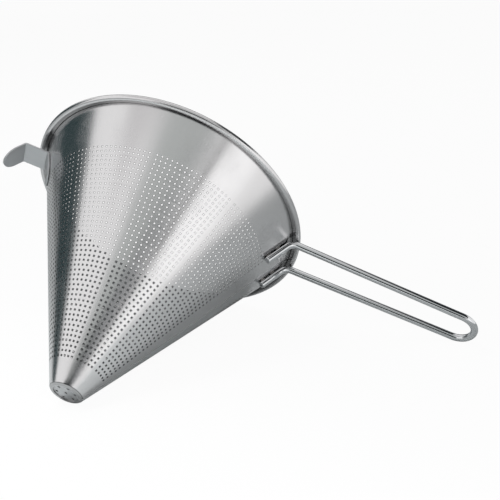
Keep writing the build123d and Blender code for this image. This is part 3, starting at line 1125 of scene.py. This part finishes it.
@dataclass
class RestHook:
    """The rest hook: one strap with a foot on the wall, an arm and a turned-down lip."""

    sizes: StrainerSizes
    pose: RestPose
    azimuth: float = math.radians(190.7)
    width: float = 20.0 * MM
    strap: float = 1.2 * MM
    arm_depth: float = 8.7 * MM
    arm_reach: float = 17.0 * MM
    arm_drop: float = math.radians(4.5)
    lip_length: float = 18.0 * MM
    lip_drop: float = math.radians(63.7)
    foot_length: float = 20.0 * MM
    bend: float = 2.0 * MM
    wall_gap: float = 0.1 * MM
    edge_round: float = 0.25 * MM
    weld_size: float = 4.0 * MM
    weld_spacing: float = 8.0 * MM
    weld_inset: float = 10.0 * MM
    bend_steps: tuple = (10, 12)
    run_steps: tuple = (14, 8, 14)
    end_steps: int = 12
    end_clear: float = 0.3 * MM
    across_steps: int = 16
    dished_from: float = 0.2
    dished_over: float = 0.75
    worn_share: float = 0.45
    sharp_degrees: float = 60.0
    mark_steps: int = 8
    mark_corners: int = 40
    mark_lift: float = 0.02 * MM
    mark_height: float = 0.1 * MM
    mark_sink: float = 0.05 * MM
    mark_root: float = 0.3 * MM

    def path(self) -> Array:
        """Return the middle line of the strap, as radius and height.

        Returns:
            Its points, one row each.
        """
        s, half = self.sizes, self.strap / 2
        gap = self.wall_gap / math.cos(s.wall_angle)
        root = np.array([s.wall_radius(-self.arm_depth) + gap, -self.arm_depth])
        arm, lip = flat_unit(-self.arm_drop), flat_unit(-self.lip_drop)
        arm_start = root + flat_unit(-math.pi / 2 - self.arm_drop) * half
        lip_under = flat_unit(-math.pi / 2 - self.lip_drop)
        foot_start = root - s.up_wall * self.foot_length + s.off_wall * half
        lip_end = root + arm * self.arm_reach + lip * self.lip_length + lip_under * half
        low = self._cross(foot_start, s.up_wall, arm_start, arm)
        high = self._cross(arm_start, arm, lip_end, lip)
        first = round_corner(foot_start, low, high, self.bend, self.bend_steps[0])
        second = round_corner(low, high, lip_end, self.bend, self.bend_steps[1])
        shares = [np.linspace(0, 1, steps + 1)[:, None] for steps in self.run_steps]
        foot = foot_start + (first[0] - foot_start) * shares[0][:-1]
        level = first[-1] + (second[0] - first[-1]) * shares[1][1:-1]
        end = second[-1] + (lip_end - second[-1]) * shares[2][1:]
        return np.vstack([foot, first, level, second, end])

    @staticmethod
    def _cross(a: Array, along_a: Array, b: Array, along_b: Array) -> Array:
        """Return the point where two lines of a drawing cross."""
        shares = np.linalg.solve(np.stack([along_a, -along_b], 1), b - a)
        return a + along_a * shares[0]

    def bend_to_path(self, flat: Array) -> Array:
        """Bend a flat strap along its path.

        Args:
            flat: Points as reach along the strap, place across it and height from its middle.

        Returns:
            The points in the frame.
        """
        line = self.path()
        run = run_along(line)
        ahead = unit_rows(np.gradient(line, run, axis=0))
        reach = np.clip(flat[:, 0], 0, run[-1])
        middle = np.stack([np.interp(reach, run, line[:, k]) for k in (0, 1)], 1)
        along = unit_rows(np.stack([np.interp(reach, run, ahead[:, k]) for k in (0, 1)], 1))
        normal = np.stack([along[:, 1], -along[:, 0]], 1)
        spot = middle + normal * flat[:, 2:3]
        share = np.clip((along @ self.sizes.up_wall - self.dished_from) / self.dished_over, 0, 1)
        dip = share * (spot[:, 0] - np.sqrt(np.maximum(spot[:, 0] ** 2 - flat[:, 1] ** 2, 0)))
        out = np.array([*flat_unit(self.azimuth), 0.0])
        side = np.array([-out[1], out[0], 0.0])
        local = (spot[:, 0] - dip)[:, None] * out + flat[:, 1:2] * side
        local[:, 2] = spot[:, 1]
        return self.pose.place(local)

    def plate(self) -> bmesh.types.BMesh:
        """Return the flat strap with two round ends and rounded edges.

        Returns:
            The strap, from its foot along the first axis.
        """
        run = run_along(self.path())
        total, radius = run[-1], self.width / 2
        turns = np.linspace(0, math.pi / 2, self.end_steps + 1)[1:]
        start = radius * (1 - np.cos(turns))
        clear = radius + self.end_clear
        inside = run[(run > clear) & (run < total - clear)]
        stations = np.concatenate([start, inside, total - start[::-1]])
        plate = bmesh.new()
        across = np.sin(np.linspace(-math.pi / 2, math.pi / 2, self.across_steps + 1))
        rows = []
        for reach in stations:
            gap = min(reach, total - reach)
            half = radius if gap >= radius else math.sqrt(radius**2 - (radius - gap) ** 2)
            rows.append([plate.verts.new((reach, half * float(v), -self.strap / 2)) for v in across])
        for low, high in zip(rows, rows[1:]):
            for i in range(len(across) - 1):
                plate.faces.new((low[i], high[i], high[i + 1], low[i + 1]))
        for row, reach in ((rows[0], 0.0), (rows[-1], total)):
            tip = plate.verts.new((reach, 0.0, -self.strap / 2))
            for low, high in zip(row, row[1:]):
                plate.faces.new((low, high, tip) if reach == 0.0 else (high, low, tip))
        bmesh.ops.recalc_face_normals(plate, faces=plate.faces)
        raised = bmesh.ops.extrude_face_region(plate, geom=plate.faces[:])
        top = [v for v in raised["geom"] if isinstance(v, bmesh.types.BMVert)]
        bmesh.ops.translate(plate, verts=top, vec=(0, 0, self.strap))
        bmesh.ops.recalc_face_normals(plate, faces=plate.faces)
        rims = [e for e in plate.edges if e.calc_face_angle(0.0) > math.radians(self.sharp_degrees)]
        bmesh.ops.bevel(plate, geom=rims, offset=self.edge_round, segments=3, profile=0.5, affect="EDGES")
        return plate

    def build(self, strap: Material, weld: Material) -> None:
        """Make the strap and the marks of its two spot welds.

        Args:
            strap: Finish of the strap.
            weld: Finish of the weld marks.
        """
        plate = self.plate()
        flat = np.array([v.co[:] for v in plate.verts])
        faces = [tuple(v.index for v in face.verts) for face in plate.faces]
        plate.free()
        off_rim = np.abs(np.abs(flat[:, 2]) - self.strap / 2 + self.edge_round / 2)
        edge = (off_rim < self.edge_round * self.worn_share).astype(float)
        grain = np.stack([flat[:, 1], flat[:, 0], flat[:, 2]], 1)
        shape = (self.bend_to_path(flat), faces, edge, grain)
        piece = new_piece("rest_hook", shape, strap, sharp=self.sharp_degrees)
        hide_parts("hook_strap")
        piece = new_piece("hook_weld_marks", self.marks(), weld)
        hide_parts("hook_welds")

    def marks(self) -> Shape:
        """Shape the low round marks of the two spot welds, on the foot.

        Returns:
            Points, faces, edge values and grain coordinates.
        """
        turns = np.linspace(0, math.tau, self.mark_corners, endpoint=False)
        n, rows, faces = self.mark_corners, [], []
        for place in (0.5, -0.5):
            middle = self.foot_length - self.weld_inset + self.weld_spacing * place
            base = len(rows)
            rows.append((middle, 0.0, self.mark_lift))
            for share in np.linspace(0, 1, self.mark_steps + 1)[1:]:
                radius = self.weld_size / 2 * share
                lift = self.mark_height * math.sin(math.pi * share) + self.mark_lift
                if share == 1.0:
                    lift -= self.mark_sink
                rows += [(middle + radius * math.cos(t), radius * math.sin(t), lift) for t in turns]
            faces += [(base, base + 1 + (i + 1) % n, base + 1 + i) for i in range(n)]
            for start in range(base + 1, len(rows) - n, n):
                faces += ring_faces(start, start + n, n)
        flat = np.array(rows)
        under = flat.copy()
        under[:, 2] = self.strap / 2 - self.mark_root
        both = np.vstack([flat + np.array([0, 0, self.strap / 2]), under])
        faces = two_sided(faces, len(flat), sorted(open_edges(faces)))
        return self.bend_to_path(both), faces, np.zeros(len(both)), both


def flat_sheet(name: str, half_width: float, half_height: float, material: Material) -> Object:
    """Make a flat sheet of the studio.

    Args:
        name: Name of the sheet.
        half_width: Half of its width.
        half_height: Half of its height.
        material: Its material.

    Returns:
        The new object.
    """
    w, h = half_width, half_height
    mesh = bpy.data.meshes.new(name)
    mesh.from_pydata([(-w, -h, 0), (w, -h, 0), (w, h, 0), (-w, h, 0)], [], [(0, 1, 2, 3)])
    mesh.materials.append(material)
    sheet = bpy.data.objects.new(name, mesh)
    bpy.context.scene.collection.objects.link(sheet)
    return sheet


def soft_lamp(name: str, size: Pair, glow: float, in_metal: bool = False) -> Object:
    """Add one soft lamp that shines down until it is turned.

    Args:
        name: Name of the lamp.
        size: Width and height of its face.
        glow: Brightness of its face, where 1 is white.
        in_metal: Whether the metal reflects it.

    Returns:
        The lamp.
    """
    data = bpy.data.lights.new(name, "AREA")
    data.shape = "RECTANGLE"
    data.size, data.size_y = size
    data.energy = glow * math.pi * size[0] * size[1]
    lamp = bpy.data.objects.new(name, data)
    lamp.visible_camera = False
    lamp.visible_glossy = in_metal
    bpy.context.scene.collection.objects.link(lamp)
    return lamp


def dress_node(name: str, material: Material) -> None:
    """Give a solid that stays as it is its finish.

    Args:
        name: Name of the node.
        material: Its finish.
    """
    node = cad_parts[name]
    for slot in node.material_slots:
        slot.material = material
    log.info("node %s keeps its solid", name)


@dataclass(frozen=True)
class Panel:
    """A flat panel that only shows in reflections, with soft edges and angles in degrees."""

    name: str
    azimuth: float
    height: float
    half_width: float
    half_height: float
    colour: Triple
    soft: float = 0.25
    distance: float = 5.0
    roll: float = 0.0

    def build(self) -> None:
        """Make the panel and turn its face to the strainer."""
        way = direction(self.azimuth, self.height)
        w = self.distance * math.tan(math.radians(self.half_width))
        h = self.distance * math.tan(math.radians(self.half_height))
        panel = flat_sheet(self.name, w, h, self.face(w, h))
        panel.location = way * self.distance + AIM
        spin = Matrix.Rotation(math.radians(self.roll), 4, "Z")
        panel.rotation_euler = (way.to_track_quat("Z", "Y").to_matrix().to_4x4() @ spin).to_euler()
        panel.visible_camera = panel.visible_diffuse = False
        panel.visible_shadow = panel.visible_transmission = False

    def face(self, w: float, h: float) -> Material:
        """Return the material of the panel, clear towards its edges.

        Args:
            w: Half of the width of the panel.
            h: Half of its height.

        Returns:
            The material.
        """
        material, n = new_material(self.name)
        parts = n.split(n.add("ShaderNodeTexCoord").outputs["Object"])
        fades = [
            n.spread(n.math("ABSOLUTE", n.math("DIVIDE", part, half)), 1.0, 1.0 - self.soft)
            for part, half in zip(parts, (w, h))
        ]
        glow, clear = n.add("ShaderNodeEmission"), n.add("ShaderNodeBsdfTransparent")
        glow.inputs["Color"].default_value = (*self.colour, 1.0)
        n.blend(n.times(*fades), clear.outputs[0], glow.outputs[0])
        return material


PANELS = (
    Panel("dark_panel", 173.0, 12.0, 22.0, 26.0, (0.034, 0.056, 0.06), soft=0.3, roll=32.0),
    Panel("left_panel", 140.0, 8.0, 18.0, 15.0, (0.16, 0.175, 0.18), soft=0.25, distance=5.2),
    Panel("rear_panel", 92.0, 20.0, 38.0, 26.0, (0.10, 0.105, 0.11), soft=0.3),
    Panel("front_panel", -74.5, 40.0, 30.0, 26.0, (0.535, 0.56, 0.55), soft=0.7, roll=-20.0),
    Panel("low_front_panel", -65.0, 25.0, 15.0, 14.0, (0.30, 0.31, 0.315), 0.6, 4.5, roll=-30.0),
    Panel("horizon_panel", -90.0, 10.0, 24.0, 23.0, (0.015, 0.018, 0.02), soft=0.3, distance=4.2),
    Panel("dark_strip", -49.0, 22.0, 14.0, 2.6, (0.0, 0.0, 0.0), soft=0.35, distance=4.8, roll=45.0),
    Panel("top_panel", -90.0, 80.0, 38.0, 30.0, (0.70, 0.69, 0.695), soft=0.3, distance=5.4),
    Panel("near_top_panel", 12.0, 46.0, 38.0, 17.0, (0.02, 0.024, 0.026), soft=0.3, distance=0.8),
)


@dataclass(frozen=True)
class Studio:
    """A pale floor, a white surrounding, soft lamps and grey panels that only the metal reflects."""

    floor_colour: Triple = (0.85, 0.855, 0.86)
    floor_colour_in_metal: Triple = (0.665, 0.695, 0.70)
    floor_size: float = 30.0
    floor_white: float = 0.95
    floor_roughness: float = 0.9
    table_edge: Pair = (0.2, 0.66)
    table_edge_way: Triple = (0.75, -0.66, 0.0)
    soft_level: float = 0.30
    fill_size: Pair = (0.1, 0.1)

    def build(self) -> None:
        """Make the floor, the surrounding, the lamps and the panels."""
        self.floor()
        self.surrounding()
        for lamp, way, distance in (
            (soft_lamp("side_strip", (0.66, 0.85), 0.30, in_metal=True), direction(-33.0, 12.0), 1.6),
            (soft_lamp("top_soft", (1.2, 1.2), 2.2), direction(150.0, 50.0), 1.8),
        ):
            lamp.location = way * distance + AIM
            lamp.rotation_euler = way.to_track_quat("Z", "Y").to_euler()
        soft_lamp("left_fill", self.fill_size, 17.0).location = (-0.19, -0.14, 0.28)
        soft_lamp("front_fill", self.fill_size, 13.0).location = (0.10, -0.30, 0.22)
        for panel in PANELS:
            panel.build()

    def surrounding(self) -> None:
        """Make the surrounding, white where it shows and softer as light on the floor."""
        world = bpy.data.worlds.new("studio")
        bpy.context.scene.world = world
        world.use_nodes = True
        n = Nodes(world.node_tree)
        path = n.add("ShaderNodeLightPath")
        seen = n.math("MAXIMUM", n.seen_directly(path), path.outputs["Is Glossy Ray"])
        soft = (self.soft_level, self.soft_level, self.soft_level, 1.0)
        n.link(n.mix(seen, soft, (1.0, 1.0, 1.0, 1.0)), world.node_tree.nodes["Background"].inputs["Color"])

    def floor(self) -> None:
        """Make the floor, nearly white to the camera but for the shadow on it."""
        material, n = new_material("pale_floor")
        shader = material.node_tree.nodes["Principled BSDF"]
        shader.inputs["Roughness"].default_value = self.floor_roughness
        glow, path = n.add("ShaderNodeEmission"), n.add("ShaderNodeLightPath")
        share = n.times(n.seen_directly(path), self.floor_white)
        reach = n.add("ShaderNodeVectorMath", operation="DOT_PRODUCT")
        n.link(n.add("ShaderNodeTexCoord").outputs["Object"], reach.inputs[0])
        reach.inputs[1].default_value = self.table_edge_way
        glossy = path.outputs["Is Glossy Ray"]
        in_metal = n.times(glossy, n.spread(reach.outputs["Value"], *self.table_edge))
        plain, darker = (*self.floor_colour, 1.0), (*self.floor_colour_in_metal, 1.0)
        n.link(n.mix(glossy, plain, darker), shader.inputs["Base Color"])
        n.blend(n.math("MAXIMUM", share, in_metal), shader.outputs[0], glow.outputs[0])
        plane = flat_sheet("floor", self.floor_size / 2, self.floor_size / 2, material)


@dataclass(frozen=True)
class PhotoCamera:
    """The camera as a fit to the photograph gave it, in the strainer's own axes and in mm."""

    place: Triple = (126.330, -466.412, -377.619)
    right: Triple = (0.9393, -0.1319, 0.3180)
    down: Triple = (0.3299, 0.6083, -0.7219)
    focal_pixels: float = 846.0
    image_pixels: float = 500.0
    centre_shift: float = 0.001
    clip: Pair = (0.01, 20.0)

    def build(self, pose: RestPose) -> None:
        """Make the camera.

        Args:
            pose: The resting pose of the strainer.
        """
        data = bpy.data.cameras.new("photo_camera")
        data.lens = self.focal_pixels / self.image_pixels * data.sensor_width
        data.clip_start, data.clip_end = self.clip
        data.shift_x, data.shift_y = -self.centre_shift, self.centre_shift
        camera = bpy.data.objects.new("photo_camera", data)
        right = unit(pose.rows @ np.array(self.right))
        down = pose.rows @ np.array(self.down)
        down = unit(down - right * (down @ right))
        place = pose.place(np.array(self.place) * MM)
        matrix = np.eye(4)
        matrix[:3] = np.stack([right, -down, -np.cross(right, down), place], 1)
        camera.matrix_world = Matrix(matrix.tolist())
        bpy.context.scene.collection.objects.link(camera)
        bpy.context.scene.camera = camera


def main() -> None:
    """Build the strainer, the studio and the camera."""
    sizes = StrainerSizes()
    handle = HandleLine(sizes)
    pose = RestPose(sizes, handle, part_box("rim_wire"))
    effects = Effects()
    finishes = {finish.name: finish.build(effects) for finish in FINISHES}
    PerforatedCone(sizes, pose).build(finishes["satin_sheet"])
    WireHandle(sizes, pose, handle).build(finishes["polished_wire"], finishes["weld_metal"])
    RestHook(sizes, pose).build(finishes["matte_strap"], finishes["weld_metal"])
    dress_node("rim_wire", finishes["plain_wire"])
    dress_node("tip_disc", finishes["tip_sheet"])
    dress_node("seam_weld", finishes["ground_seam"])
    Studio().build()
    PhotoCamera().build(pose)
    bpy.context.scene.view_settings.view_transform = "Standard"


if __name__ == "__main__":
    main()
